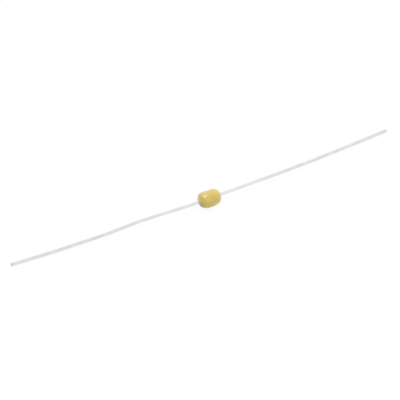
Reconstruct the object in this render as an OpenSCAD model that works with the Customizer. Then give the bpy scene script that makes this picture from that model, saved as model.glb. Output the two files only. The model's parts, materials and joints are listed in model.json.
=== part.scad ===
// Axial multilayer ceramic capacitor with a dipped epoxy coat, in millimetres.
// It lies at rest: the coat touches the ground at the origin, and so do the tips of both leads.
// +X runs along the right lead and +Z is up.

/* [Ceramic chip] */
// Length of the chip, between its end faces
chip_l = 2; // [1.6:0.1:3.2]
// Width of the chip
chip_w = 1.25; // [0.9:0.05:1.6]
// Thickness of the chip, across the layers
chip_t = 1; // [0.6:0.05:1.4]

/* [Electrodes] */
// Electrodes on each side
electrode_pairs = 8; // [2:1:10]
// Thickness of one electrode
electrode_t = 0.02; // [0.01:0.005:0.025]
// Ceramic above the top electrode and below the bottom one
cover_t = 0.14; // [0.05:0.01:0.16]
// Ceramic beside an electrode, on each side
side_margin = 0.15; // [0.05:0.01:0.3]
// Ceramic between an electrode's free end and the far end face
end_margin = 0.25; // [0.1:0.01:0.5]

/* [Terminations and solder] */
// Thickness of the metal cap on each end of the chip
cap_t = 0.05; // [0.02:0.01:0.1]
// How far each cap reaches back along the chip
cap_band = 0.4; // [0.2:0.05:0.6]
// Solder between a cap and the head of its lead
solder_t = 0.06; // [0.03:0.01:0.15]
// Solder outside the head's rim, at the cap
solder_foot = 0.06; // [0.04:0.01:0.12]
// Solder outside the head's rim, at the back of the head
solder_lip = 0.02; // [0.01:0.01:0.04]

/* [Lead wire] */
// Diameter of the wire
lead_d = 0.5; // [0.4:0.01:0.6]
// Diameter of the nail head
head_d = 0.95; // [0.8:0.05:1.1]
// Thickness of the nail head
head_t = 0.2; // [0.1:0.05:0.3]
// Straight wire between the coat and the first bend
lead_stub = 0.06; // [0.02:0.01:1]
// Straight wire between the downward bend and the first sideways one
lead_neck = 0.3; // [0.1:0.05:2]
// Radius of the bends, at the wire's axis
bend_r = 10; // [4:0.5:15]

/* [Left lead] */
// Straight run next to the body
left_root_run = 6.85; // [3:0.05:10]
// Straight run inside the kink
left_kink_run = 4.5; // [1:0.1:8]
// Straight run after the kink
left_mid_run = 7.7; // [3:0.1:12]
// Straight run at the tip
left_tip_run = 6.1; // [3:0.1:10]
// Heading of the root run, in degrees off the body's axis
left_root_heading = 5.3; // [1:0.1:8]
// Heading inside the kink
left_kink_heading = 0.1; // [-3:0.1:2]
// Heading after the kink
left_mid_heading = 3.9; // [1:0.1:5]
// Heading of the tip
left_tip_heading = 6.1; // [4.5:0.1:10]

/* [Right lead] */
// Straight run next to the body
right_root_run = 9.75; // [4:0.05:14]
// Straight run in the middle
right_mid_run = 6.2; // [3:0.1:10]
// Straight run at the tip
right_tip_run = 12.5; // [4:0.1:16]
// Heading of the root run, in degrees off the body's axis
right_root_heading = 2; // [0.5:0.1:2.5]
// Heading of the middle
right_mid_heading = 3.2; // [2.5:0.1:4.2]
// Heading of the tip
right_tip_heading = 4.7; // [3.7:0.1:10]

/* [Epoxy coat] */
// Epoxy over the corners of the caps
coat_wall = 0.22; // [0.12:0.01:0.4]
// Epoxy behind the heads of the leads
coat_end = 0.44; // [0.3:0.01:0.9]
// How far the coat hangs below the chip's axis
coat_sag = 0.05; // [0:0.01:0.15]
// Squareness of the coat's outline: 2 is an ellipse
coat_power = 2.7; // [2:0.1:3]
// How much fatter the coat is at its left end than at its middle, as a share
coat_taper = 0.01; // [0:0.005:0.05]
// Radius of the meniscus that climbs each lead
meniscus_r = 0.15; // [0.1:0.05:0.4]
// Thickness of the meniscus at its thin end
meniscus_edge = 0.02; // [0.02:0.01:0.06]

/* [Hidden] */
$fn = 64;

// How far a cut runs past the face that it opens
cut_over = 0.1;

// A bend is a hair thicker than the wire, and the straight runs lap into it
bend_swell = 0.001;
bend_lap = 0.02;

// Electrodes, counted from the bottom of the chip: even ones reach the left end
electrode_count = 2 * electrode_pairs;
electrode_l = chip_l - end_margin;
electrode_w = chip_w - 2 * side_margin;
electrode_pitch = (chip_t - 2 * cover_t - electrode_t) / (electrode_count - 1);
electrode_z0 = cover_t + (electrode_t - chip_t) / 2;

// Places along +X, from the chip's centre outwards
cap_x = chip_l / 2 + cap_t;
head_x = cap_x + solder_t;
head_back_x = head_x + head_t;
coat_x = head_back_x + coat_end;

// Half sizes over the caps, and the reach of their corners from the coat's own axis
cap_half_w = chip_w / 2 + cap_t;
cap_half_t = chip_t / 2 + cap_t;
corner_r = norm([cap_half_w, cap_half_t + coat_sag]);

// The coat's half section is a superellipse, a little fatter to the left
function oval(share) = pow(1 - pow(share, coat_power), 1 / coat_power);
function fatness(x) = 1 - coat_taper * x / coat_x;
oval_r = (corner_r + coat_wall) / (oval(cap_x / coat_x) * fatness(cap_x));
function coat_r(x) = oval_r * oval(abs(x) / coat_x) * fatness(x);

// Outline of the coat's body, as [radius, place along the axis], from its left end to its right one
outline_steps = 24;
body_outline = [
    for (i = [-outline_steps : outline_steps])
        let (x = coat_x * sin(90 * i / outline_steps))
        [coat_r(x), x]
];

// Each meniscus is an arc from a thin edge on the wire to the end of the coat, and runs on into it
lead_r = lead_d / 2;
meniscus_steps = 6;
meniscus_sweep = 55;
meniscus_foot_r = lead_r + meniscus_edge;
meniscus_top_r = meniscus_foot_r + meniscus_r * (1 - cos(meniscus_sweep));
meniscus_top_x = coat_x * oval(meniscus_top_r / oval_r);
meniscus_x = meniscus_top_x + meniscus_r * sin(meniscus_sweep);
meniscus_side = [
    for (i = [0 : meniscus_steps])
        let (angle = meniscus_sweep * (1 - i / meniscus_steps))
        [meniscus_foot_r + meniscus_r * (1 - cos(angle)), meniscus_x - meniscus_r * sin(angle)]
];
meniscus_root_r = meniscus_top_r + cut_over * sin(meniscus_sweep);
meniscus_root_x = meniscus_top_x - cut_over * cos(meniscus_sweep);
meniscus_outline = concat(
    [[0, meniscus_root_x], [meniscus_root_r, meniscus_root_x]],
    meniscus_side,
    [[0, meniscus_x]]
);

// Outline of a solder joint, as [radius, height over the cap]: it thins towards the back of the head
solder_steps = 6;
solder_h = solder_t + head_t;
solder_side = [
    for (i = [0 : solder_steps])
        let (climb = i / solder_steps)
        [head_d / 2 + solder_lip + (solder_foot - solder_lip) * pow(1 - climb, 2), solder_h * climb]
];
solder_outline = concat([[0, 0]], solder_side, [[0, solder_h]]);

// Heights: the coat's lowest point is on the ground
coat_z = max([for (point = body_outline) point[0]]);
chip_z = coat_z + coat_sag;

// Each lead leaves the coat straight, drops to the ground, then turns sideways at each bend
bend_x = meniscus_x + lead_stub;
left_runs = [lead_neck, left_root_run, left_kink_run, left_mid_run, left_tip_run];
left_headings = [0, left_root_heading, left_kink_heading, left_mid_heading, left_tip_heading];
right_runs = [lead_neck, right_root_run, right_mid_run, right_tip_run];
right_headings = [0, right_root_heading, right_mid_heading, right_tip_heading];

// Heading before bend i
function before(headings, i) = i == 0 ? 0 : headings[i - 1];

// Length of a bent wire along its straight direction, from bend i to the tip
function reach(runs, headings, i = 0) =
    i == len(runs) ? 0 :
    bend_r * abs(sin(headings[i]) - sin(before(headings, i)))
    + runs[i] * cos(headings[i])
    + reach(runs, headings, i + 1);

// Downward bend at which the underside of the tip meets the ground
function droop(runs, headings) =
    let (along = reach(runs, headings), across = bend_r - lead_r)
    acos((bend_r - chip_z) / norm([across, along])) - atan2(along, across);

// Places its children on the chip's axis
module at_chip() {
    translate([0, 0, chip_z]) children();
}

// Turns a piece that is built for the right end to the end that is asked for
module at_end(side) {
    if (side == "left") {
        mirror([1, 0, 0]) children();
    } else {
        children();
    }
}

module chip_block() {
    cube([chip_l, chip_w, chip_t], center = true);
}

// Outside of the cap on the right end
module cap_block() {
    translate([cap_x - cap_band - cap_t, -cap_half_w, -cap_half_t])
        cube([cap_band + cap_t, 2 * cap_half_w, 2 * cap_half_t]);
}

// Outside of the solder on the right end
module solder_block() {
    translate([cap_x, 0, 0])
        rotate([0, 90, 0])
            rotate_extrude()
                polygon(solder_outline);
}

// Nail head and straight wire on the right end, from start_x to end_x
module lead_root(start_x, end_x) {
    translate([start_x, 0, 0])
        rotate([0, 90, 0]) {
            cylinder(d = head_d, h = head_back_x - start_x);
            cylinder(r = lead_r, h = end_x - start_x);
        }
}

// Electrode i, with its outer end lengthened by extra
module electrode_plate(i, extra = 0) {
    side = i % 2 == 0 ? -1 : 1;
    translate([side * (end_margin + extra) / 2, 0, electrode_z0 + i * electrode_pitch])
        cube([electrode_l + extra, electrode_w, electrode_t], center = true);
}

// One bend that turns the wire from +Z towards +X, or towards -X if the angle is negative
module elbow(turn) {
    rotate([0, 0, turn < 0 ? 180 : 0])
        translate([bend_r, 0, 0])
            rotate([90, 0, 180])
                rotate_extrude(angle = abs(turn))
                    translate([bend_r, 0])
                        circle(r = lead_r + bend_swell);
}

// Places its children at the end of such a bend
module past_elbow(turn) {
    translate([sign(turn) * bend_r * (1 - cos(turn)), 0, bend_r * sin(abs(turn))])
        rotate([0, turn, 0])
            children();
}

// Bends and straight runs of a wire, one after another, up to a square-cut tip.
// A run whose heading doesn't change has no bend before it.
module wire(runs, headings, i = 0) {
    if (i < len(runs)) {
        turn = headings[i] - before(headings, i);
        end_lap = i == len(runs) - 1 ? 0 : bend_lap;
        if (turn != 0) elbow(turn);
        past_elbow(turn) {
            translate([0, 0, -bend_lap]) cylinder(r = lead_r, h = bend_lap + runs[i] + end_lap);
            translate([0, 0, runs[i]]) wire(runs, headings, i + 1);
        }
    }
}

module lead(side, runs, headings) {
    drop = droop(runs, headings);
    color("gainsboro") at_chip() at_end(side) {
        lead_root(head_x, bend_x + bend_lap);
        translate([bend_x, 0, 0])
            rotate([0, 90, 0]) {
                elbow(drop);
                past_elbow(drop) rotate([0, 0, 90]) wire(runs, headings);
            }
    }
}

// Body of the coat and the menisci on the leads, before they are hollowed
module coat_skin() {
    translate([0, 0, coat_z])
        rotate([0, 90, 0])
            rotate_extrude()
                polygon(body_outline);
    at_chip() {
        for (side = ["left", "right"]) {
            at_end(side)
                rotate([0, 90, 0])
                    rotate_extrude()
                        polygon(meniscus_outline);
        }
    }
}

// The hollow for each lead starts inside its cap, so that it opens into the hollow for the chip
module epoxy_coat() {
    color("goldenrod") difference() {
        coat_skin();
        at_chip() {
            chip_block();
            for (side = ["left", "right"]) {
                at_end(side) cap_block();
                at_end(side) solder_block();
                at_end(side) lead_root(chip_l / 2, bend_x + cut_over);
            }
        }
    }
}

module ceramic_chip() {
    color("tan") at_chip() difference() {
        chip_block();
        for (i = [0 : electrode_count - 1]) {
            electrode_plate(i, cut_over);
        }
    }
}

module electrode(i) {
    color("slategray") at_chip() electrode_plate(i);
}

module termination(side) {
    color("silver") at_chip() at_end(side) difference() {
        cap_block();
        chip_block();
    }
}

module solder(side) {
    color("lightgray") at_chip() at_end(side) difference() {
        solder_block();
        lead_root(head_x, bend_x);
    }
}

epoxy_coat();
ceramic_chip();
lead("left", left_runs, left_headings);  // lead_left
lead("right", right_runs, right_headings);  // lead_right
for (side = ["left", "right"]) {
    termination(side);
    solder(side);
}
for (i = [1 : electrode_pairs]) {
    electrode(2 * i - 2);
    electrode(2 * i - 1);
}
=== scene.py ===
"""Looks of an axial multilayer ceramic capacitor with a dipped epoxy coat.

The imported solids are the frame. The coat and the two leads get fine surfaces of the same form, which
stand for their solids. The chip, electrodes, caps and solder inside the coat keep their solids and get
finishes of their own. Lengths are in metres, written as millimetres times MM.
"""

import json
import logging
import math
from collections.abc import Mapping
from dataclasses import dataclass
from enum import Enum

import bpy
import numpy as np
from mathutils import Matrix, Vector


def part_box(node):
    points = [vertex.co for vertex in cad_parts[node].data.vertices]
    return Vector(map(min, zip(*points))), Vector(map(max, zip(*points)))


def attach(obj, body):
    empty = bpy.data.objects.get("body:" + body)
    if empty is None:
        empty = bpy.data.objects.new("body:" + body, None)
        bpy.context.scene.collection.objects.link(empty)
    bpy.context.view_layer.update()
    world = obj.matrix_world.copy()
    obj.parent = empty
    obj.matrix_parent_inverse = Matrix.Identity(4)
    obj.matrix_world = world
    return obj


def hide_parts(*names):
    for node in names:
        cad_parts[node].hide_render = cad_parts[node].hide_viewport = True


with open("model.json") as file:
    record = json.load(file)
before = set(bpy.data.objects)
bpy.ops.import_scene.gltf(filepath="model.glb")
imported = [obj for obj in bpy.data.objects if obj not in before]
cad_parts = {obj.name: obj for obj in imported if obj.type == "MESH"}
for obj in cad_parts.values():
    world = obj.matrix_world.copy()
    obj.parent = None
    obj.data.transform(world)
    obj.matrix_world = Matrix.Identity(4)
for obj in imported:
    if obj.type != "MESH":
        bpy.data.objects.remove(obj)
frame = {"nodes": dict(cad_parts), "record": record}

LOG = logging.getLogger("capacitor")
MM = 0.001
BODY = "root"
SHARP_ANGLE = math.radians(40)
TINY = 1e-9

Array = np.ndarray
Rgb = tuple[float, float, float]
Xyz = tuple[float, float, float]


class Slot(Enum):
    """Material slots of the record."""

    EPOXY = "epoxy"
    CERAMIC = "ceramic"
    CAP_METAL = "cap_metal"
    SOLDER = "solder"
    TINNED_WIRE = "tinned_wire"
    ELECTRODE_METAL = "electrode_metal"


class Side(Enum):
    """The two ends of the part; the value is the sign of X there."""

    LEFT = -1
    RIGHT = 1

    @property
    def word(self) -> str:
        """The end's name, as the nodes use it."""
        return self.name.lower()


class PointValue(Enum):
    """Values that a surface carries at its points, for its finish."""

    FILM = "film"
    # painted shade: a darker patch under the left lead's root, where shadow falls
    POOLED = "pooled"
    WIRE_PLACE = "wire_place"
    CUT = "cut"
    CORE_SHARE = "core_share"
    AGE = "age"


class Sock:
    """A shader socket that takes part in arithmetic: each operation adds a Math node to its graph."""

    def __init__(self, graph: "Graph", socket: bpy.types.NodeSocket | None) -> None:
        """Keeps the graph and the socket, which is None after a node without outputs."""
        self.graph = graph
        self.socket = socket

    def math(self, operation: str, first: "Value", second: "Value") -> "Sock":
        """Adds a Math node.

        Args:
            operation: The node's operation.
            first: Its first operand.
            second: Its second operand.

        Returns:
            The node's result.
        """
        return self.graph.node("ShaderNodeMath", {"operation": operation}, {0: first, 1: second})

    def __add__(self, other: "Value") -> "Sock":
        """This value plus another."""
        return self.math("ADD", self, other)

    def __radd__(self, other: "Value") -> "Sock":
        """Another value plus this one."""
        return self.math("ADD", other, self)

    def __sub__(self, other: "Value") -> "Sock":
        """This value less another."""
        return self.math("SUBTRACT", self, other)

    def __rsub__(self, other: "Value") -> "Sock":
        """Another value less this one."""
        return self.math("SUBTRACT", other, self)

    def __mul__(self, other: "Value") -> "Sock":
        """This value times another."""
        return self.math("MULTIPLY", self, other)

    def __rmul__(self, other: "Value") -> "Sock":
        """Another value times this one."""
        return self.math("MULTIPLY", other, self)

    def __pow__(self, other: "Value") -> "Sock":
        """This value to the power of another."""
        return self.math("POWER", self, other)

    def at_least(self, other: "Value") -> "Sock":
        """The larger of this value and another."""
        return self.math("MAXIMUM", self, other)


Value = float | Sock


class Graph:
    """The nodes of one material or of the world."""

    # Places of the two colours and the result among the sockets of a Mix node.
    MIX_COLOURS = (6, 7)
    MIX_RESULT = 2
    # Nearly all of a noise texture's values lie in this band.
    NOISE_BAND = (0.3, 0.7)

    def __init__(self, tree: bpy.types.NodeTree) -> None:
        """Empties the tree and keeps it."""
        self.tree = tree
        self.tree.nodes.clear()

    def node(
        self,
        kind: str,
        settings: Mapping[str, object] | None = None,
        inputs: Mapping[str | int, object] | None = None,
        output: str | int = 0,
    ) -> Sock:
        """Adds one node.

        Args:
            kind: The node's type.
            settings: Its properties, set before its sockets; "stops" are a ramp's (place, colour) pairs.
            inputs: A number, colour or vector, or a Sock to link, by the socket's name or place.
            output: The output socket to return, by name or place.

        Returns:
            The chosen output.
        """
        made = self.tree.nodes.new(kind)
        for name, value in (settings or {}).items():
            if name == "stops":
                self._set_stops(made.color_ramp, value)
            else:
                setattr(made, name, value)
        for name, value in (inputs or {}).items():
            if isinstance(value, Sock):
                self.tree.links.new(value.socket, made.inputs[name])
            else:
                made.inputs[name].default_value = value
        return Sock(self, made.outputs[output] if made.outputs else None)

    @staticmethod
    def _set_stops(ramp: bpy.types.ColorRamp, stops: list[tuple[float, Rgb]]) -> None:
        """Sets a ramp's stops, in order of place.

        Args:
            ramp: The ramp, which starts with two stops.
            stops: Its (place, colour) pairs.
        """
        for _ in stops[2:]:
            ramp.elements.new(1.0)
        for element, (place, colour) in zip(ramp.elements, stops):
            element.position = place
            element.color = (*colour, 1.0)

    def place(self) -> Sock:
        """Object coordinates, which are the frame's own metres."""
        return self.node("ShaderNodeTexCoord", output="Object")

    def dot(self, first: Sock, second: Xyz) -> Sock:
        """Dot product of a vector socket and a fixed vector."""
        inputs = {0: first, 1: second}
        return self.node("ShaderNodeVectorMath", {"operation": "DOT_PRODUCT"}, inputs, output="Value")

    def carried(self, value: PointValue, output: str = "Fac") -> Sock:
        """A value that the surface carries, as the output Fac or Vector."""
        return self.node("ShaderNodeAttribute", {"attribute_name": value.value}, output=output)

    def stretch(self, place: Sock, factors: Xyz) -> Sock:
        """Coordinates times a factor along each axis."""
        return self.node("ShaderNodeVectorMath", {"operation": "MULTIPLY"}, {0: place, 1: factors})

    def noise(self, place: Sock, size: float, detail: float = 2.0) -> Sock:
        """Soft noise from 0 to 1.

        Args:
            place: Coordinates, in metres.
            size: Rough size of one patch.
            detail: How many finer layers lie in it.

        Returns:
            The noise, spread to about the full range.
        """
        raw = self.node("ShaderNodeTexNoise", inputs={"Vector": place, "Scale": 1 / size, "Detail": detail})
        low, high = self.NOISE_BAND
        band = {"Value": raw, "From Min": low, "From Max": high}
        return self.node("ShaderNodeMapRange", {"clamp": True}, band)

    def mix(self, share: Value, first: Sock | Rgb, second: Sock | Rgb) -> Sock:
        """A colour between two.

        Args:
            share: 0 for the first colour, 1 for the second.
            first: One colour.
            second: The other.

        Returns:
            The mixed colour.
        """
        colours = {
            place: colour if isinstance(colour, Sock) else (*colour, 1.0)
            for place, colour in zip(self.MIX_COLOURS, (first, second))
        }
        settings = {"data_type": "RGBA"}
        return self.node("ShaderNodeMix", settings, {0: share, **colours}, output=self.MIX_RESULT)

    def bump(self, height: Value, depth: float) -> Sock:
        """A normal that is tilted by a height from 0 to 1, of the given depth in metres."""
        return self.node("ShaderNodeBump", inputs={"Height": height, "Distance": depth}, output="Normal")

    def surface(self, kind: str, inputs: Mapping[str, object]) -> None:
        """Ends the graph in one shader.

        Args:
            kind: The shader's node type.
            inputs: Its sockets.
        """
        shader = self.node(kind, inputs=inputs)
        self.node("ShaderNodeOutputMaterial", inputs={"Surface": shader})


def new_material(name: str) -> tuple[bpy.types.Material, Graph]:
    """Makes an empty node material.

    Args:
        name: The material's name.

    Returns:
        The material and its graph.
    """
    material = bpy.data.materials.new(name)
    material.use_nodes = True
    return material, Graph(material.node_tree)


@dataclass(frozen=True)
class FiredFinish:
    """A fired or reflowed surface: blotches between two colours, and a grain in its gloss and relief."""

    slot: Slot
    dark: Rgb
    light: Rgb
    metallic: float
    smooth: float
    rough: float
    blotch: float
    grain: float
    relief: float
    grain_share: float = 0.3

    def material(self) -> bpy.types.Material:
        """Makes the material.

        Returns:
            A material whose colour follows blotches and grain, and whose gloss and bump follow the grain.
        """
        material, graph = new_material(self.slot.value)
        place = graph.place()
        blotches = graph.noise(place, self.blotch)
        grain = graph.noise(place, self.grain, detail=3.0)
        shade = (1 - self.grain_share) * blotches + self.grain_share * grain
        graph.surface(
            "ShaderNodeBsdfPrincipled",
            {
                "Base Color": graph.mix(shade, self.dark, self.light),
                "Metallic": self.metallic,
                "Roughness": self.smooth + (self.rough - self.smooth) * grain,
                "Normal": graph.bump(grain, self.relief),
            },
        )
        return material


FIRED_FINISHES = (
    FiredFinish(
        slot=Slot.CERAMIC,
        dark=(0.33, 0.25, 0.18),
        light=(0.46, 0.37, 0.28),
        metallic=0.0,
        smooth=0.6,
        rough=0.85,
        blotch=0.5 * MM,
        grain=0.03 * MM,
        relief=0.004 * MM,
    ),
    FiredFinish(
        slot=Slot.CAP_METAL,
        dark=(0.52, 0.51, 0.48),
        light=(0.68, 0.67, 0.64),
        metallic=1.0,
        smooth=0.35,
        rough=0.6,
        blotch=0.3 * MM,
        grain=0.03 * MM,
        relief=0.004 * MM,
    ),
    FiredFinish(
        slot=Slot.SOLDER,
        dark=(0.50, 0.50, 0.52),
        light=(0.66, 0.66, 0.68),
        metallic=1.0,
        smooth=0.18,
        rough=0.35,
        blotch=0.2 * MM,
        grain=0.05 * MM,
        relief=0.003 * MM,
    ),
    FiredFinish(
        slot=Slot.ELECTRODE_METAL,
        dark=(0.36, 0.36, 0.37),
        light=(0.52, 0.52, 0.53),
        metallic=1.0,
        smooth=0.4,
        rough=0.7,
        blotch=0.3 * MM,
        grain=0.02 * MM,
        relief=0.002 * MM,
    ),
)


@dataclass(frozen=True)
class EpoxyFinish:
    """Glossy dipped epoxy: golden, in clouds and fine specks, paler in thin film, and darker in a painted
    shade under the left lead's root.
    """

    dark: Rgb = (0.610, 0.438, 0.052)
    light: Rgb = (0.700, 0.516, 0.082)
    speck: Rgb = (0.40, 0.27, 0.075)
    thin: Rgb = (0.64, 0.545, 0.36)
    pool: Rgb = (0.27, 0.21, 0.10)
    speck_share: float = 0.16
    speck_size: float = 0.05 * MM
    speck_focus: float = 4.0
    cloud: float = 1.1 * MM
    peel: float = 0.3 * MM
    peel_depth: float = 0.002 * MM
    smooth: float = 0.30
    rough: float = 0.40
    ior: float = 1.52
    skin: float = 1.0
    skin_roughness: float = 0.31
    sheen: float = 0.5
    sheen_roughness: float = 0.5

    def material(self) -> bpy.types.Material:
        """Makes the material.

        Returns:
            A material whose colour follows clouds, specks, film and a painted shade at the lower left end,
            with a slight orange peel.
        """
        material, graph = new_material(Slot.EPOXY.value)
        place = graph.place()
        clouds = graph.noise(place, self.cloud)
        specks = graph.noise(place, self.speck_size, detail=1.0) ** self.speck_focus
        peel = graph.noise(place, self.peel, detail=1.0)
        pigment = graph.mix(clouds, self.dark, self.light)
        pigment = graph.mix(self.speck_share * specks, pigment, self.speck)
        paint = graph.mix(graph.carried(PointValue.FILM), self.thin, pigment)
        graph.surface(
            "ShaderNodeBsdfPrincipled",
            {
                # the painted shade darkens the paint in a patch under the left lead's root
                "Base Color": graph.mix(graph.carried(PointValue.POOLED), paint, self.pool),
                "Roughness": self.smooth + (self.rough - self.smooth) * peel,
                "IOR": self.ior,
                "Coat Weight": self.skin,
                "Coat Roughness": self.skin_roughness,
                "Sheen Weight": self.sheen,
                "Sheen Roughness": self.sheen_roughness,
                "Normal": graph.bump(peel, self.peel_depth),
            },
        )
        return material


@dataclass(frozen=True)
class TinnedWireFinish:
    """Satin tin over copper-clad steel.

    Clouds and the drawing die's lines run along the wire, and darker spots grow in away from the body,
    towards the tips. The cut face of the tip shows the steel core inside its copper skin, with tin smeared
    over the edge.
    """

    dark: Rgb = (0.757, 0.756, 0.778)
    light: Rgb = (0.882, 0.880, 0.894)
    tipward_colour: Rgb = (0.59, 0.59, 0.605)
    steel: Rgb = (0.30, 0.29, 0.28)
    copper: Rgb = (0.30, 0.20, 0.15)
    smear: Rgb = (0.46, 0.45, 0.45)
    steel_to: float = 0.78
    copper_at: float = 0.86
    cloud: float = 0.9 * MM
    cloud_stretch: Xyz = (0.5, 1.0, 1.0)
    spot: float = 0.8 * MM
    line: float = 0.05 * MM
    line_stretch: Xyz = (0.04, 1.0, 1.0)
    line_share: float = 0.25
    line_depth: float = 0.0015 * MM
    smooth: float = 0.06
    rough: float = 0.09
    cut_rough: float = 0.05

    def material(self) -> bpy.types.Material:
        """Makes the material.

        Returns:
            A metal whose colour follows clouds, lines, spots and cut, and whose bump follows the lines.
        """
        material, graph = new_material(Slot.TINNED_WIRE.value)
        place = graph.carried(PointValue.WIRE_PLACE, "Vector")
        clouds = graph.noise(graph.stretch(place, self.cloud_stretch), self.cloud, detail=3.0)
        lines = graph.noise(graph.stretch(place, self.line_stretch), self.line)
        shade = (1 - self.line_share) * clouds + self.line_share * lines
        tin = graph.mix(shade, self.dark, self.light)
        spots = graph.noise(place, self.spot, detail=1.0)
        # the tin darkens in spots away from the body, towards the tips
        tin = graph.mix(graph.carried(PointValue.AGE) * spots, tin, self.tipward_colour)
        steel = [(0.0, self.steel), (self.steel_to, self.steel)]
        skin = [(self.copper_at, self.copper), (1.0, self.smear)]
        core_share = graph.carried(PointValue.CORE_SHARE)
        core = graph.node("ShaderNodeValToRGB", {"stops": steel + skin}, {"Fac": core_share})
        cut = graph.carried(PointValue.CUT)
        graph.surface(
            "ShaderNodeBsdfPrincipled",
            {
                "Base Color": graph.mix(cut, tin, core),
                "Metallic": 1.0,
                "Roughness": self.smooth + (self.rough - self.smooth) * lines + self.cut_rough * cut,
                "Normal": graph.bump(lines, self.line_depth),
            },
        )
        return material


def ring_faces(rows: int, columns: int, closed: bool) -> Array:
    """Quads between the rows of a grid whose columns go all the way round.

    Args:
        rows: Rings in the grid.
        columns: Points in each ring.
        closed: Whether the last ring joins the first.

    Returns:
        Four point numbers for each quad. The quads face outwards if each ring turns right-handed about the
        way to the next one.
    """
    here = np.arange(rows * columns).reshape(rows, columns)
    there = np.roll(here, -1, axis=0)
    if not closed:
        here, there = here[:-1], there[:-1]
    beside = np.roll(here, -1, axis=1)
    across = np.roll(there, -1, axis=1)
    return np.stack([here, beside, across, there], axis=-1).reshape(-1, 4)


def pole_faces(ring: Array, pole: int, forward: bool) -> Array:
    """Triangles between a ring and the one point that closes it.

    Args:
        ring: The ring's point numbers.
        pole: The point's number.
        forward: Whether the point lies ahead of the ring.

    Returns:
        Three point numbers for each triangle.
    """
    beside = np.roll(ring, -1)
    pair = (ring, beside) if forward else (beside, ring)
    return np.stack([*pair, np.full_like(ring, pole)], axis=-1)


def make_piece(
    name: str,
    points: Array,
    faces: list[Array],
    values: Mapping[PointValue, Array],
    material: bpy.types.Material,
) -> bpy.types.Object:
    """Makes one piece of the object, which stands for the CAD node of the same name.

    Args:
        name: The node's name.
        points: Its points, (n, 3).
        faces: Groups of faces, each an array of point numbers.
        values: What it carries at each point, (n,) or (n, 3).
        material: Its material.

    Returns:
        The object, which rides on the part's one body.
    """
    mesh = bpy.data.meshes.new(f"{name}_surface")
    mesh.from_pydata(points.tolist(), [], [face for group in faces for face in group.tolist()])
    for key, array in values.items():
        kind, member = ("FLOAT_VECTOR", "vector") if array.ndim == 2 else ("FLOAT", "value")
        attribute = mesh.attributes.new(key.value, kind, "POINT")
        attribute.data.foreach_set(member, array.astype(np.float32).ravel())
    mesh.shade_smooth()
    mesh.set_sharp_from_angle(angle=SHARP_ANGLE)
    mesh.materials.append(material)
    piece = bpy.data.objects.new(f"{name}_looks", mesh)
    bpy.context.scene.collection.objects.link(piece)
    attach(piece, BODY)
    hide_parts(name)
    LOG.info("%s: %d points, %d faces", piece.name, len(mesh.vertices), len(mesh.polygons))
    return piece


def smooth_step(value: Array, low: float, high: float) -> Array:
    """0 below low, 1 above high, and the cubic 3t^2 - 2t^3 between them."""
    share = np.clip((value - low) / (high - low), 0.0, 1.0)
    return share * share * (3.0 - 2.0 * share)


def unit_rows(vectors: Array) -> Array:
    """Vectors scaled to length one, row by row."""
    return vectors / np.linalg.norm(vectors, axis=1, keepdims=True)


def lead_radius() -> float:
    """Radius of the wire, from the record's mount on a lead."""
    mount = next(m for m in frame["record"]["mounts"] if m["name"] == "left_lead_tip")
    return mount["dims"]["r_mm"] * MM


@dataclass(frozen=True)
class Wave:
    """One wave of lumps: its share, crests in one turn, phase, and turn of the phase along the axis."""

    share: float
    crests: int
    phase: float
    twist: float


@dataclass(frozen=True)
class DipMarks:
    """Chance marks of one dip: faint lumps, two lobes with a dent between them, a shoulder and a belly."""

    lump: float = 0.015 * MM
    waves: tuple[Wave, ...] = (
        Wave(share=0.5, crests=2, phase=-0.6, twist=0.7),
        Wave(share=0.3, crests=3, phase=1.1, twist=-1.4),
        Wave(share=0.2, crests=5, phase=2.3, twist=2.2),
    )
    lobe: float = 0.04 * MM
    lobe_lift: float = 0.4
    lobe_pitch: float = 2.1 * MM
    lobe_angle: float = math.radians(50)
    lobe_slant: float = -1.25 * MM
    lobe_focus: float = 1.4
    shoulder: float = 0.13 * MM
    shoulder_x: float = -1.5 * MM
    shoulder_reach: float = 0.27 * MM
    shoulder_focus: float = 3.0
    belly: float = 0.075 * MM
    belly_angle: float = math.radians(210)
    belly_focus: float = 4.0

    @staticmethod
    def near(turned: Array, focus: float) -> Array:
        """Fall round the axis: exp(f (cos t - 1)) for a focus f, at the turn t from a mark's own angle."""
        return np.exp(focus * (np.cos(turned) - 1))

    def height(self, x: Array, angle: Array, half_l: float) -> Array:
        """Height of the marks over the plain coat, before they die out at its ends.

        The lumps are the sum of the waves, each share cos(crests a + phase + twist pi x / half_l) at the
        angle a. The lobes are lift - cos(2 pi (x - slant t) / pitch) at the turn t from their angle, which
        leaves a slanting dent between them. The shoulder is exp(-d^2 / 2) of the distance d along the axis,
        in units of its reach. Lobes and shoulder fall off round the axis from one angle, and with the lumps
        die out on the ground, as (1 + sin a) / 2. The belly falls off from an angle of its own, and dies
        out as cos^2 a at the ground and at the top.

        Args:
            x: Places along the axis, as a column.
            angle: Angles round the axis, as a row.
            half_l: Half the coat's length.

        Returns:
            The height at each place and angle.
        """
        turn = np.pi * x / half_l
        lumps = sum(w.share * np.cos(w.crests * angle + w.phase + w.twist * turn) for w in self.waves)
        turned = np.angle(np.exp(1j * (angle - self.lobe_angle)))
        lobes = self.lobe_lift - np.cos(2 * np.pi * (x - self.lobe_slant * turned) / self.lobe_pitch)
        lobes = lobes * self.near(turned, self.lobe_focus)
        from_shoulder = (x - self.shoulder_x) / self.shoulder_reach
        shoulder = self.near(turned, self.shoulder_focus) * np.exp(-(from_shoulder**2) / 2)
        upper = self.lump * lumps + self.lobe * lobes + self.shoulder * shoulder
        belly = self.near(angle - self.belly_angle, self.belly_focus) * np.cos(angle) ** 2
        return upper * (1 + np.sin(angle)) / 2 + self.belly * belly


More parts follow.
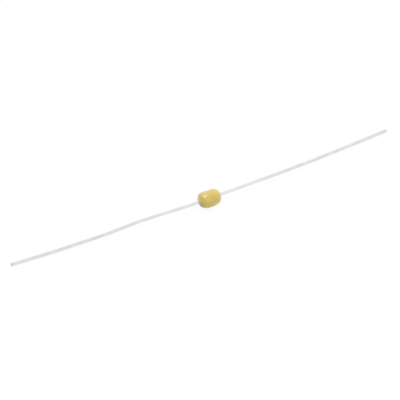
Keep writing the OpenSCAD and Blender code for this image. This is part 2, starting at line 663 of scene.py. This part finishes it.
@dataclass
class EpoxyCoat:
    """The dipped coat: a fat oval over the chip, a meniscus onto each lead, and the hollow for the rest."""

    end: float = 0.44 * MM
    power: float = 2.7
    taper: float = 0.01
    meniscus_r: float = 0.15 * MM
    meniscus_edge: float = 0.02 * MM
    meniscus_sweep: float = math.radians(55)
    meniscus_from: float = 0.9
    junction: float = 0.03 * MM
    rise_from: float = 0.1
    rise_to: float = 0.75
    solder_lip_r: float = 0.495 * MM
    thin_film: float = 0.5 * MM
    # painted shade: a darker patch on the lower left end, under the lead's root, where shadow falls
    painted_shade_at: Xyz = (-1.66 * MM, -0.60 * MM, 1.10 * MM)
    painted_shade_reach: float = 0.27 * MM
    painted_shade_share: float = 0.9
    columns: int = 96
    body_rows: int = 150
    meniscus_rows: int = 20
    solder_rows: int = 6
    oval_samples: int = 401
    marks: DipMarks = DipMarks()
    finish: EpoxyFinish = EpoxyFinish()

    def __post_init__(self) -> None:
        """Takes places and sizes from the frame, and works out the oval that fills the coat's box."""
        low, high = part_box("epoxy_coat")
        self.reach = high.x
        self.axis_z = (low.z + high.z) / 2
        radius = (high.z - low.z) / 2
        low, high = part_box("termination_right")
        self.chip_z = (low.z + high.z) / 2
        self.cap_x = high.x
        self.cap_back_x = low.x
        self.cap_half = (high.y, (high.z - low.z) / 2)
        low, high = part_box("ceramic_chip")
        self.chip_half = (high.y, (high.z - low.z) / 2)
        low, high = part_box("solder_right")
        self.head_back_x = high.x
        self.solder_foot_r = high.y
        self.wire_r = lead_radius()
        self.half_l = self.head_back_x + self.end
        samples = np.linspace(-self.half_l, self.half_l, self.oval_samples)
        self.oval_r = radius / float(np.max(self.unit_oval(samples)))
        self.angles = self.column_angles()

    def column_angles(self) -> Array:
        """Angles of the columns round the axis: even ones, and the corners of the hollow's rectangles.

        Returns:
            The angles, in order; 0 points along +Y, and a quarter turn up.
        """
        even = np.linspace(0, 2 * np.pi, self.columns, endpoint=False)
        corners = np.array([math.atan2(half[1], half[0]) for half in (self.cap_half, self.chip_half)])
        corners = np.concatenate([corners, np.pi - corners, np.pi + corners, 2 * np.pi - corners])
        return np.sort(np.concatenate([even, corners]))

    def unit_oval(self, x: Array) -> Array:
        """Superellipse (1 - s^p)^(1/p) of the share s of the half length, a little fatter to the left."""
        share = np.minimum(np.abs(x) / self.half_l, 1.0)
        return (1.0 - share**self.power) ** (1 / self.power) * (1.0 - self.taper * x / self.half_l)

    def meniscus(self, x: Array) -> Array:
        """Radius of the meniscus: an arc that leaves its edge along the wire, and its tangent further in.

        Args:
            x: Places along the axis.

        Returns:
            The radius at each place: wire, edge, r - sqrt(r^2 - d^2) at d from the edge, and tangent.
        """
        inward = np.clip(self.reach - np.abs(x), 0.0, None)
        arc_run = self.meniscus_r * math.sin(self.meniscus_sweep)
        on_arc = np.minimum(inward, arc_run)
        arc = self.meniscus_r - np.sqrt(self.meniscus_r**2 - on_arc**2)
        return self.wire_r + self.meniscus_edge + arc + (inward - on_arc) * math.tan(self.meniscus_sweep)

    def stations(self) -> Array:
        """Places along the axis: even in angle over the body, so that they crowd at its ends, then even.

        Returns:
            The places, from the left edge of the coat to the right one.
        """
        body = self.half_l * np.sin(np.linspace(-np.pi / 2, np.pi / 2, self.body_rows))[1:-1]
        edge = np.linspace(self.half_l, self.reach, self.meniscus_rows)
        return np.concatenate([-edge[::-1], body, edge])

    def outside(self) -> tuple[Array, Array, Array]:
        """Outer surface: the larger of oval and meniscus, joined smoothly, with the marks of the dip.

        The smooth joint of a and b is (a + b + sqrt((a - b)^2 + k^2)) / 2, with a softness k near the ends
        only. The marks die out at the ends as the oval does. The middle of the coat hangs lower than its
        ends, by a smooth step.

        Returns:
            Place along the axis, height of each ring's centre, and radius at each ring and angle.
        """
        x = self.stations()
        unit = self.unit_oval(x)
        oval = self.oval_r * unit
        at_end = np.abs(x) > self.meniscus_from * self.half_l
        cone = np.where(at_end, self.meniscus(x), 0.0)
        softness = np.where(at_end, self.junction, 0.0)
        radius = (oval + cone + np.sqrt((oval - cone) ** 2 + softness**2)) / 2
        rise = smooth_step(np.abs(x), self.rise_from * self.half_l, self.rise_to * self.half_l)
        centre = self.axis_z + (self.chip_z - self.axis_z) * rise
        marks = self.marks.height(x[:, None], self.angles[None, :], self.half_l) * unit[:, None]
        return x, centre, radius[:, None] + marks

    def round_section(self, radius: Array) -> Array:
        """Round sections, as a radius at each angle."""
        return np.repeat(radius[:, None], len(self.angles), axis=1)

    def square_section(self, half: tuple[float, float]) -> Array:
        """A rectangle's section: the nearer of its two pairs of sides at each angle.

        Args:
            half: Half its width and half its height.

        Returns:
            The radius at each angle a: the smaller of half width / |cos a| and half height / |sin a|.
        """
        across = np.maximum(np.abs(np.cos(self.angles)), TINY)
        upward = np.maximum(np.abs(np.sin(self.angles)), TINY)
        return np.minimum(half[0] / across, half[1] / upward)[None, :]

    def hollow(self) -> tuple[Array, Array]:
        """Inner surface from the right end to the left: wire, solder, cap and chip, then the same back.

        The solder's radius grows from its lip to its foot with the square of the way.

        Returns:
            Place along the axis, and radius at each ring and angle.
        """
        climb = np.linspace(1.0, 0.0, self.solder_rows + 1)
        solder_x = self.cap_x + (self.head_back_x - self.cap_x) * climb
        solder_r = self.solder_lip_r + (self.solder_foot_r - self.solder_lip_r) * (1 - climb) ** 2
        wire_x = np.array([self.reach, self.head_back_x])
        half_x = np.concatenate([wire_x, solder_x, [self.cap_x, self.cap_back_x, self.cap_back_x]])
        half_r = np.concatenate(
            [
                self.round_section(np.full(len(wire_x), self.wire_r)),
                self.round_section(solder_r),
                np.repeat(self.square_section(self.cap_half), 2, axis=0),
                self.square_section(self.chip_half),
            ]
        )
        return np.concatenate([half_x, -half_x[::-1]]), np.concatenate([half_r, half_r[::-1]])

    def build(self) -> bpy.types.Object:
        """Makes the coat: one ring-shaped grid, out along the outside and back through the hollow.

        The film is 0 at the thin edge of a meniscus and grows to 1 with the radius. The painted shade, a
        darker patch under the left lead's root where shadow falls, is exp(-d^2 / 2) of the distance d from
        its middle, in units of its reach.

        Returns:
            The finished piece.
        """
        out_x, out_centre, out_r = self.outside()
        in_x, in_r = self.hollow()
        x = np.concatenate([out_x, in_x])[:, None]
        centre = np.concatenate([out_centre, np.full(len(in_x), self.chip_z)])[:, None]
        radius = np.concatenate([out_r, in_r])
        points = np.stack(
            [
                np.broadcast_to(x, radius.shape),
                radius * np.cos(self.angles),
                centre + radius * np.sin(self.angles),
            ],
            axis=-1,
        )
        film = np.clip((radius - self.wire_r - self.meniscus_edge) / self.thin_film, 0.0, 1.0)
        # painted shade under the left lead's root, strongest at its middle
        from_painted_shade = np.sum((points - np.array(self.painted_shade_at)) ** 2, axis=-1) / self.painted_shade_reach**2
        pooled = self.painted_shade_share * np.exp(-from_painted_shade / 2)
        return make_piece(
            "epoxy_coat",
            points.reshape(-1, 3),
            [ring_faces(len(x), len(self.angles), closed=True)],
            {PointValue.FILM: film.ravel(), PointValue.POOLED: pooled.ravel()},
            self.finish.material(),
        )


@dataclass
class Lead:
    """One lead: a nail head inside the coat, then a wire that drops to the ground and wanders to +Y.

    The runs are the straight lengths after the neck, and the headings their directions in degrees.
    """

    side: Side
    runs: tuple[float, ...]
    headings: tuple[float, ...]
    head_r: float = 0.475 * MM
    head_t: float = 0.2 * MM
    stub: float = 0.06 * MM
    neck: float = 0.3 * MM
    bend_r: float = 10 * MM
    step: float = 0.1 * MM
    rim: float = 0.02 * MM
    smear: float = 0.6 * MM
    smear_share: float = 0.5
    # darker spots on the tin, from the first length to the second and on to the tip
    tipward_start: float = 6 * MM
    tipward_full_from: float = 14 * MM
    tipward_share: float = 0.33
    columns: int = 40
    rim_rows: int = 5
    face_rows: int = 5

    def __post_init__(self) -> None:
        """Takes places from the frame and works out the bends along the wire."""
        self.wire_r = lead_radius()
        low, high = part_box(f"solder_{self.side.word}")
        self.axis_z = (low.z + high.z) / 2
        self.head_x = max(abs(low.x), abs(high.x)) - self.head_t
        self.bend_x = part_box("epoxy_coat")[1].x + self.stub
        self.turns = np.radians(np.array([0.0, *self.headings]))
        self.straights = np.array([self.neck, *self.runs])
        self.arcs = self.bend_r * np.abs(np.diff(self.turns))
        self.droop = self.droop_angle()

    def droop_angle(self) -> float:
        """Downward bend at which the underside of the tip meets the ground.

        The wire's reach is the sum, over its bends and runs, of bend_r |sin h2 - sin h1| and run cos h. The
        bend a solves (bend_r - wire_r) cos a - reach sin a = bend_r - axis_z.

        Returns:
            The angle, in radians.
        """
        bends = self.bend_r * np.sum(np.abs(np.diff(np.sin(self.turns))))
        reach = np.sum(self.straights * np.cos(self.turns)) + bends
        inner_r = self.bend_r - self.wire_r
        lean = math.acos((self.bend_r - self.axis_z) / math.hypot(inner_r, reach))
        return lean - math.atan2(reach, inner_r)

    def path(self) -> tuple[Array, Array, Array]:
        """Centreline: the heading turns evenly along each bend, and the points sum up its direction.

        Returns:
            Length from the face of the head, points, and directions.
        """
        bend_start = self.bend_x - self.head_x
        bend_end = bend_start + self.bend_r * self.droop
        bends_and_runs = np.stack([self.arcs, self.straights[1:]], axis=1).ravel()
        knots = bend_end + np.concatenate([[0.0], np.cumsum([self.neck, *bends_and_runs])])
        length = np.linspace(0.0, knots[-1], int(knots[-1] / self.step) + 1)
        heading = np.interp(length, knots, np.repeat(self.turns, 2))
        pitch = np.interp(length, [bend_start, bend_end], [0.0, self.droop])
        direction = np.stack(
            [
                self.side.value * np.cos(heading) * np.cos(pitch),
                np.sin(heading),
                -np.cos(heading) * np.sin(pitch),
            ],
            axis=1,
        )
        steps = (direction[1:] + direction[:-1]) / 2 * np.diff(length)[:, None]
        start = np.array([self.side.value * self.head_x, 0.0, self.axis_z])
        points = start + np.concatenate([np.zeros((1, 3)), np.cumsum(steps, axis=0)])
        return length, points, direction

    def rings(self, length: Array) -> tuple[Array, Array, Array]:
        """Rings along the lead: the nail head, the plain wire, and the tip with its rounded rim and face.

        The rim is a quarter circle. The cut metal shows on the face, fades over the rim, and is smeared a
        little way up the wire, by a smooth step.

        Args:
            length: Even lengths along the centreline.

        Returns:
            Length, radius, and how far the cut metal shows, from 0 to 1, for each ring.
        """
        total = length[-1]
        head_s = [0.0, self.head_t, self.head_t]
        head_r = [self.head_r, self.head_r, self.wire_r]
        wire_s = length[(length > self.head_t) & (length < total - 2 * self.rim)]
        wire_r = np.full(len(wire_s), self.wire_r)
        curl = np.linspace(0.0, np.pi / 2, self.rim_rows)
        rim_s = total - self.rim + self.rim * np.sin(curl)
        rim_r = self.wire_r - self.rim + self.rim * np.cos(curl)
        face_r = np.linspace(rim_r[-1], 0.0, self.face_rows + 2)[1:-1]
        face_s = np.full(len(face_r), total)
        smeared = self.smear_share * smooth_step(wire_s, total - self.smear, total)
        rolled = np.linspace(self.smear_share, 1.0, len(curl))
        cut = np.concatenate([np.zeros(len(head_s)), smeared, rolled, np.ones(len(face_r))])
        ring_s = np.concatenate([head_s, wire_s, rim_s, face_s])
        return ring_s, np.concatenate([head_r, wire_r, rim_r, face_r]), cut

    def per_point(self, values: Array, head: float, tip: float) -> Array:
        """Each ring's value at all its points, then the values in the middle of the head and of the tip."""
        return np.concatenate([np.repeat(values, self.columns), [head, tip]])

    def build(self, material: bpy.types.Material) -> bpy.types.Object:
        """Makes the lead: rings square to the centreline, closed at the head's face and at the tip.

        Args:
            material: The wire's material.

        Returns:
            The finished piece.
        """
        length, line, direction = self.path()
        ring_s, ring_r, cut = self.rings(length)
        centre = np.stack([np.interp(ring_s, length, line[:, k]) for k in range(3)], axis=1)
        ahead = np.stack([np.interp(ring_s, length, direction[:, k]) for k in range(3)], axis=1)
        ahead = unit_rows(ahead)
        sideways = unit_rows(np.array([0.0, 1.0, 0.0]) - ahead * ahead[:, 1:2])
        upward = np.cross(ahead, sideways)
        angle = np.linspace(0, 2 * np.pi, self.columns, endpoint=False)
        cosine, sine = np.cos(angle)[None, :, None], np.sin(angle)[None, :, None]
        spoke = cosine * sideways[:, None, :] + sine * upward[:, None, :]
        rings = centre[:, None, :] + ring_r[:, None, None] * spoke
        points = np.concatenate([rings.reshape(-1, 3), centre[:1], centre[-1:]])
        wire_place = np.stack(
            [
                self.per_point(ring_s, 0.0, ring_s[-1]),
                np.append(np.outer(ring_r, np.cos(angle)), [0.0, 0.0]),
                np.append(np.outer(ring_r, np.sin(angle)), [0.0, 0.0]),
            ],
            axis=-1,
        )
        count = len(ring_s) * self.columns
        first, last = np.arange(self.columns), np.arange(count - self.columns, count)
        faces = [
            ring_faces(len(ring_s), self.columns, closed=False),
            pole_faces(first, count, forward=False),
            pole_faces(last, count + 1, forward=True),
        ]
        age = self.tipward_share * smooth_step(ring_s, self.tipward_start, self.tipward_full_from)
        values = {
            PointValue.WIRE_PLACE: wire_place,
            PointValue.CUT: self.per_point(cut, 0.0, 1.0),
            PointValue.CORE_SHARE: self.per_point(ring_r / self.wire_r, 0.0, 0.0),
            PointValue.AGE: self.per_point(age, 0.0, self.tipward_share),
        }
        return make_piece(f"lead_{self.side.word}", points, faces, values, material)


@dataclass
class ChipStack:
    """The pieces inside the coat: they keep their solids and get the record's finishes."""

    finishes: tuple[FiredFinish, ...] = FIRED_FINISHES

    def dress(self) -> None:
        """Gives each inner node the finish of its slot in the record."""
        materials = {finish.slot.value: finish.material() for finish in self.finishes}
        for part in frame["record"]["subparts"]:
            material = materials.get(part["material_slot"])
            if material is not None:
                mesh = frame["nodes"][part["node"]].data
                mesh.materials.clear()
                mesh.materials.append(material)
                LOG.info("%s: dressed as %s", part["node"], material.name)


@dataclass
class Studio:
    """White floor, white surroundings that light the part more from the right, a lamp, and the camera."""

    azimuth: float = math.radians(-27.9)
    elevation: float = math.radians(43)
    distance: float = 231 * MM
    image_px: float = 400
    focal_px: float = 1585
    body_px: tuple[float, float] = (209.25, 198.55)
    sensor: float = 36
    floor_half: float = 600 * MM
    floor_grey: float = 0.75
    floor_glow: float = 1.02
    seen_matte: float = 0.08
    mirrored_matte: float = 0.4
    ambient: float = 0.90
    ambient_slope: Xyz = (0.44, 0.16, 0.0)
    dim_side: Xyz = (0.0, -0.69, 0.72)
    dim_share: float = 0.12
    dim_focus: float = 4.0
    lamp_from: Xyz = (-0.065, 0.14, 1.0)
    lamp_distance: float = 900 * MM
    lamp_size: float = 80 * MM
    lamp_power: float = 2.0

    def build(self) -> None:
        """Makes the whole studio."""
        self.place_camera()
        self.lay_floor()
        self.light_world()
        self.hang_lamp()

    def body_centre(self) -> Vector:
        """Middle of the coat."""
        low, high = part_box("epoxy_coat")
        return (low + high) / 2

    def place_camera(self) -> None:
        """Stands the camera at its angles, aimed so that the coat's middle falls on its own pixel."""
        back = Vector(
            (
                math.sin(self.azimuth) * math.cos(self.elevation),
                -math.cos(self.azimuth) * math.cos(self.elevation),
                math.sin(self.elevation),
            )
        )
        right = Vector((0, 0, 1)).cross(back).normalized()
        upward = back.cross(right)
        pixel = self.distance / self.focal_px
        middle = self.image_px / 2
        aim = self.body_centre() + right * (middle - self.body_px[0]) * pixel
        aim += upward * (self.body_px[1] - middle) * pixel
        data = bpy.data.cameras.new("camera")
        data.sensor_width = self.sensor
        data.sensor_fit = "HORIZONTAL"
        data.lens = self.focal_px * self.sensor / self.image_px
        data.clip_start = MM
        camera = bpy.data.objects.new("camera", data)
        turn = Matrix((right, upward, back)).transposed().to_4x4()
        camera.matrix_world = Matrix.Translation(aim + back * self.distance) @ turn
        bpy.context.scene.collection.objects.link(camera)
        bpy.context.scene.camera = camera

    def lay_floor(self) -> None:
        """Lays a floor that the camera sees as white, with a matte share that keeps the shadow."""
        reach = self.floor_half
        mesh = bpy.data.meshes.new("floor")
        corners = [(-reach, -reach, 0.0), (reach, -reach, 0.0), (reach, reach, 0.0), (-reach, reach, 0.0)]
        mesh.from_pydata(corners, [], [(0, 1, 2, 3)])
        material, graph = new_material("floor")
        matte = graph.node("ShaderNodeBsdfDiffuse", inputs={"Color": (*[self.floor_grey] * 3, 1.0)})
        glow = graph.node("ShaderNodeEmission", inputs={"Strength": self.floor_glow})
        seen, mirrored, through = self.sight_rays(graph)
        share = (seen + through) * (1 - self.seen_matte) + mirrored * (1 - self.mirrored_matte)
        shader = graph.node("ShaderNodeMixShader", inputs={0: share, 1: matte, 2: glow})
        graph.node("ShaderNodeOutputMaterial", inputs={"Surface": shader})
        mesh.materials.append(material)
        floor = bpy.data.objects.new("floor", mesh)
        bpy.context.scene.collection.objects.link(floor)

    @staticmethod
    def sight_rays(graph: Graph) -> tuple[Sock, Sock, Sock]:
        """1 for what the camera sees, for what a reflection shows, and for what is seen through glass."""
        names = ("Is Camera Ray", "Is Glossy Ray", "Is Transmission Ray")
        return tuple(graph.node("ShaderNodeLightPath", output=name) for name in names)

    def light_world(self) -> None:
        """Makes the surroundings: white to the eye, and to matte surfaces a light that grows to the right.

        In reflections, the near side of the room is a little dimmer.
        """
        world = bpy.data.worlds.new("surroundings")
        world.use_nodes = True
        graph = Graph(world.node_tree)
        seen, mirrored, through = self.sight_rays(graph)
        direction = graph.node("ShaderNodeTexCoord", output="Generated")
        soft = self.ambient + graph.dot(direction, self.ambient_slope)
        dim = self.dim_share * graph.dot(direction, self.dim_side).at_least(0.0) ** self.dim_focus
        strength = soft + (1.0 - soft) * (seen + mirrored + through) - mirrored * dim
        white = (1.0, 1.0, 1.0, 1.0)
        shader = graph.node("ShaderNodeBackground", inputs={"Color": white, "Strength": strength})
        graph.node("ShaderNodeOutputWorld", inputs={"Surface": shader})
        bpy.context.scene.world = world
        bpy.context.scene.view_settings.view_transform = "Standard"

    def hang_lamp(self) -> None:
        """Hangs a round soft lamp overhead, aimed at the coat."""
        data = bpy.data.lights.new("lamp", "AREA")
        data.shape = "DISK"
        data.size = self.lamp_size
        data.energy = self.lamp_power
        lamp = bpy.data.objects.new("lamp", data)
        towards = Vector(self.lamp_from).normalized()
        turn = towards.to_track_quat("Z", "Y").to_matrix().to_4x4()
        lamp.matrix_world = Matrix.Translation(self.body_centre() + towards * self.lamp_distance) @ turn
        bpy.context.scene.collection.objects.link(lamp)


def main() -> None:
    """Builds the studio and the pieces, in order."""
    logging.basicConfig(level=logging.INFO, format="%(message)s")
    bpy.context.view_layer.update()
    Studio().build()
    EpoxyCoat().build()
    wire = TinnedWireFinish().material()
    left = Lead(
        Side.LEFT,
        runs=(6.85 * MM, 4.5 * MM, 7.7 * MM, 6.1 * MM),
        headings=(5.3, 0.1, 3.9, 6.1),
    )
    left.build(wire)
    right = Lead(
        Side.RIGHT,
        runs=(9.75 * MM, 6.2 * MM, 12.5 * MM),
        headings=(2.0, 3.2, 4.7),
        smear_share=0.0,
    )
    right.build(wire)
    ChipStack().dress()


if __name__ == "__main__":
    main()
